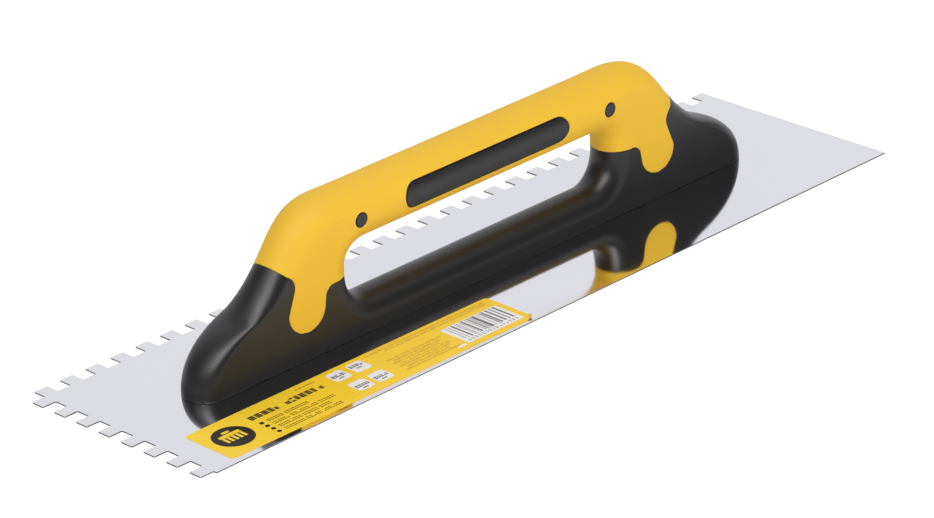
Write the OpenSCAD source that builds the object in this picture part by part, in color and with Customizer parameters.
// Notched trowel with a closed two-colour handle.
// Frame: +X along the blade, +Y towards the notched long edge, +Z up, z = 0 on the working face.

/* [Blade] */
// Length of the blade along X
blade_l = 480; // [280:10:600]
// Width of the blade along Y
blade_w = 130; // [90:5:160]
// Thickness of the stainless sheet
blade_t = 0.7; // [0.5:0.1:1.5]
// Side of each square notch
notch = 8; // [4:1:12]
// Distance between neighbouring notches
pitch = 16; // [8:1:24]

/* [Handle] */
// Half the length of the base
base_half = 191.8; // [150:0.1:220]
// Half the width of the base and the feet
base_a = 12.3; // [9:0.1:14.9]
// Height of the base bar's top over the floor
bar_top = 18.1; // [15:0.1:24]
// Radius of the round grip
grip_r = 15; // [12:0.5:18]
// Height of the grip's axis over the floor
grip_z = 62.9; // [55:0.1:80]
// Half the length of the straight grip
grip_half = 78; // [60:1:90]
// Distance from the end of the straight grip to the inner face of a post
window_r = 13.3; // [10:0.1:20]
// Thickness of the soft skin
skin_t = 2.4; // [1.5:0.1:4]

/* [Details] */
// Length of the inlay in each side of the grip
pad_l = 114.4; // [60:0.2:140]
// Height of that inlay
pad_h = 14.4; // [10:0.2:20]
// Gap around the inlays and the plugs
gap = 0.35; // [0.2:0.05:0.8]
// Distance of the round plugs from the middle
plug_x = 86.8; // [70:0.1:95]
// Diameter of the round plugs
plug_d = 7.4; // [5:0.2:10]
// Length of the round plugs
plug_l = 7; // [4:0.5:9]
// Number of weld studs under the base
studs = 6; // [4:1:8]
// Distance between neighbouring studs
stud_pitch = 66; // [40:1:72]
// Shank diameter of the studs
stud_d = 4; // [3:0.5:6]
// Height of the studs over the blade
stud_h = 11; // [6:0.5:14]
// Length of the label
label_l = 198; // [100:1:220]
// Width of the label
label_w = 34.6; // [20:0.2:45]
// Turn of the label, which was stuck on by hand
label_turn = -0.5; // [-3:0.1:3]

/* [Hidden] */
$fn = 48;

floor_z = blade_t;
mid_z = 38.7;                // height where the posts' inner faces are nearest upright
low_z = -12;                 // the handle is shaped down to here, then cut off level at the blade
grip_top = grip_z + grip_r;
grip_low = grip_z - grip_r;
centre = [grip_half, mid_z];
full_angle = 75;             // a rib at this angle or more has the full width of the grip
least_flat = 0.05;           // half the flat that is left between the two round edges of a rib
arc_n = 6;                   // steps in each rounded edge
plug_z = grip_z - 0.7;
plug_in = 0.15;              // the plugs sit this far inside the grip's surface
flange_d = 7;
flange_h = 1;
socket_gap = 0.15;
label_t = 0.15;
label_r = 3;
label_at = [-119.2, -44.8];

// A point on a Bezier curve.
function bez(p, t) = p[0] * pow(1 - t, 3) + 3 * p[1] * t * pow(1 - t, 2)
                   + 3 * p[2] * t * t * (1 - t) + p[3] * pow(t, 3);
function ramp(t) = let (c = min(1, max(0, t))) c * c * (3 - 2 * c);
function angle_of(p) = atan2(p[1] - centre[1], p[0] - centre[0]);
function arc(c, r, a0, a1, n) = [for (i = [0:n]) let (a = a0 + (a1 - a0) * i / n)
                                 c + r * [cos(a), sin(a)]];

// The outer outline of one half, from the toe of the foot to the top of the shoulder.
neck = [base_half - 25.8, 30.3];
slope = [0.933, -0.36];
waist = [base_half - 56.6, 58];
lean = [0.606, -0.795];
toe_pull = 15.9;
neck_pull = 14.4;
waist_pull = 12.5;
shoulder_x = [base_half - 68.1, base_half - 76.3, base_half - 92.8];
shoulder_z = 73.5;
foot_curve = [[base_half, 0], [base_half, toe_pull], neck + neck_pull * slope, neck];
neck_curve = [neck, neck - neck_pull * slope, waist + waist_pull * lean, waist];
shoulder_curve = [waist, [shoulder_x[0], shoulder_z], [shoulder_x[1], grip_top],
                  [shoulder_x[2], grip_top]];

// Outer ends of the ribs that span from the finger window to the outline, bottom to top.
low_rays = [-90, -76, -62, -50, -40, -32, -26];
outer = concat(
    [for (a = low_rays) centre + (mid_z - low_z) / sin(-a) * [cos(a), sin(a)]],
    [[base_half, low_z], [base_half, low_z / 2]],
    [for (i = [0:6]) bez(foot_curve, i / 6)],
    [for (i = [1:7]) bez(neck_curve, i / 7)],
    [for (i = [1:8]) bez(shoulder_curve, i / 8)],
    [[(shoulder_x[2] + grip_half) / 2, grip_top], [grip_half, grip_top]]);

// Distance from the centre of the window's round end to its wall, at angle a.
function wall_r(a) = a < 0
    ? sqrt(pow(window_r * cos(a), 2) + pow((mid_z - bar_top) * sin(a), 2))
    : sqrt(pow(window_r * cos(a), 2) + pow((grip_low - mid_z) * sin(a), 2));

// A rib: inner point, outer point and half width.
function rib(p) =
    let (a = angle_of(p))
    [centre + wall_r(a) * [cos(a), sin(a)], p,
     base_a + (grip_r - base_a) * ramp(a / full_angle)];

function mirrored(r) = [[-r[0][0], r[0][1]], [-r[1][0], r[1][1]], r[2]];
half_ribs = [for (p = outer) rib(p)];
last = len(half_ribs) - 1;
ribs = concat(half_ribs, [for (i = [0:last]) mirrored(half_ribs[last - i])]);

// The closed ring of points around one rib, with both ends full round, drawn in by t on every side.
function ring(r, t) =
    let (d = (r[1] - r[0]) / norm(r[1] - r[0]),
         p0 = r[0] + t * d,
         l = norm(r[1] - r[0]) - 2 * t,
         e = r[2] - t - least_flat,
         uv = concat(arc([e, -least_flat], e, 180, 270, arc_n),
                     arc([l - e, -least_flat], e, 270, 360, arc_n),
                     arc([l - e, least_flat], e, 0, 90, arc_n),
                     arc([e, least_flat], e, 90, 180, arc_n)))
    [for (q = uv) [p0[0] + q[0] * d[0], q[1], p0[1] + q[0] * d[1]]];

// The whole handle as a closed loop of rings.
module loop(t) {
    m = 4 * (arc_n + 1);
    n = len(ribs);
    points = [for (r = ribs) each ring(r, t)];
    faces = [for (i = [0:n - 1]) for (j = [0:m - 1])
             let (a = i * m, b = ((i + 1) % n) * m, k = (j + 1) % m)
             each [[a + j, b + j, b + k], [a + j, b + k, a + k]]];
    difference() {
        polyhedron(points = points, faces = faces, convexity = 6);
        translate([-base_half - 5, -30, low_z - 20])
            cube([2 * base_half + 10, 60, floor_z - low_z + 20]);
    }
}

// The region of the side view that the soft skin covers, with its tongues.
skin_z = 34.5;
inner_r = 5.6;
inner_c = [base_half - 86.7, skin_z - inner_r];
tongue_r = 12;
tongue_c = [base_half - 68.6, 27.1];
outer_r = 7.1;
outer_c = [base_half - 54.6, 41.3];
rise = [base_half - 52.5, 52.7];
leave = [base_half - 37.3, 60.1];
half_edge = concat(
    arc(inner_c, inner_r, 90, 12.5, 6),
    arc(tongue_c, tongue_r, 188.5, 360, 16),
    arc(outer_c, outer_r, 205, 115, 7),
    [rise, leave, [leave[0], grip_top + 10]]);
function flip(q) = [-q[0], q[1]];

module skin_region() {
    n = len(half_edge);
    rotate([90, 0, 0])
        linear_extrude(height = 4 * grip_r, center = true)
            polygon(concat(half_edge, [for (i = [1:n]) flip(half_edge[n - i])]));
}

module stadium(l, h, r0, r1) {
    for (s = [-1, 1])
        translate([0, s * (r0 + r1) / 2, grip_z])
            rotate([90, 0, 0])
                linear_extrude(height = r1 - r0, center = true)
                    stadium_2d(l, h);
}

module stadium_2d(l, h) {
    square([l - h, h], center = true);
    for (s = [-1, 1])
        translate([s * (l - h) / 2, 0])
            circle(d = h);
}

module plug_at(s, side, d, l) {
    translate([s * plug_x, side * (grip_r - plug_in), plug_z])
        rotate([side * 90, 0, 0])
            cylinder(d = d, h = l);
}

module stud_at(i, d, h) {
    translate([(i - (studs - 1) / 2) * stud_pitch, 0, floor_z])
        cylinder(d = d, h = h);
}

// Blade: rectangular sheet with square notches along the far long edge and the left short edge.
module blade() {
    long_n = floor(blade_l / pitch);
    short_n = ceil(blade_w / pitch);
    color("silver")
        linear_extrude(height = blade_t)
            difference() {
                translate([-blade_l / 2, -blade_w / 2])
                    square([blade_l, blade_w]);
                for (k = [0:long_n - 1])
                    translate([k * pitch - blade_l / 2 - (k == 0 ? 1 : 0), blade_w / 2 - notch])
                        square([notch + (k == 0 ? 1 : 0), notch + 1]);
                for (k = [1:short_n - 1])
                    translate([-blade_l / 2 - 1, blade_w / 2 - notch - k * pitch])
                        square([notch + 1, notch]);
            }
}

// Studs welded to the blade, each with a flange, standing in the base's sockets.
module weld_studs() {
    color("silver")
        for (i = [0:studs - 1]) {
            stud_at(i, flange_d, flange_h);
            stud_at(i, stud_d, stud_h);
        }
}

// Hard core: base bar, feet and posts at full size, drawn in where the soft skin goes.
module handle_core() {
    color([0.16, 0.16, 0.16])
        resize([0, 0, 0])
            difference() {
                union() {
                    loop(skin_t);
                    difference() {
                        loop(0);
                        skin_region();
                    }
                }
                for (i = [0:studs - 1])
                    translate([0, 0, -1]) {
                        stud_at(i, flange_d + 2 * socket_gap, flange_h + 1 + socket_gap);
                        stud_at(i, stud_d + 2 * socket_gap, stud_h + 1 + 2 * socket_gap);
                    }
                for (s = [-1, 1]) for (side = [-1, 1])
                    plug_at(s, side, plug_d + 2 * socket_gap, plug_l + socket_gap);
            }
}

// Soft skin over the grip and the shoulders, with a window and two holes in each side.
module grip_skin() {
    color([0.93, 0.72, 0.2])
        resize([0, 0, 0])
            difference() {
                intersection() {
                    loop(0);
                    skin_region();
                }
                loop(skin_t);
                stadium(pad_l, pad_h, grip_r / 2, grip_r + 2);
                for (s = [-1, 1]) for (side = [-1, 1])
                    translate([0, side * 2, 0])
                        plug_at(s, side, plug_d + 2 * gap, plug_l + 1);
            }
}

module pad(side) {
    color([0.16, 0.16, 0.16])
        intersection() {
            rotate([0, 90, 0])
                translate([-grip_z, 0, 0])
                    linear_extrude(height = pad_l, center = true)
                        difference() {
                            circle(r = grip_r);
                            circle(r = grip_r - skin_t);
                        }
            translate([0, side * grip_r, grip_z])
                rotate([90, 0, 0])
                    linear_extrude(height = grip_r, center = true)
                        stadium_2d(pad_l - 2 * gap, pad_h - 2 * gap);
        }
}

// Inlays in the two windows of the skin.
module pad_front() {
    pad(-1);
}

module pad_back() {
    pad(1);
}

// Round plugs at both ends of the grip, one on each side.
module side_plugs() {
    color([0.3, 0.29, 0.31])
        for (s = [-1, 1]) for (side = [-1, 1])
            plug_at(s, side, plug_d, plug_l);
}

// Adhesive label on the blade, in front of the handle.
module label() {
    color([0.96, 0.8, 0.2])
        translate([label_at[0], label_at[1], floor_z])
            rotate([0, 0, label_turn])
                linear_extrude(height = label_t) {
                    square([label_l - 2 * label_r, label_w], center = true);
                    square([label_l, label_w - 2 * label_r], center = true);
                    for (s = [-1, 1]) for (u = [-1, 1])
                        translate([s * (label_l / 2 - label_r), u * (label_w / 2 - label_r)])
                            circle(r = label_r);
                }
}

blade();
weld_studs();
handle_core();
grip_skin();
pad_front();
pad_back();
side_plugs();
label();
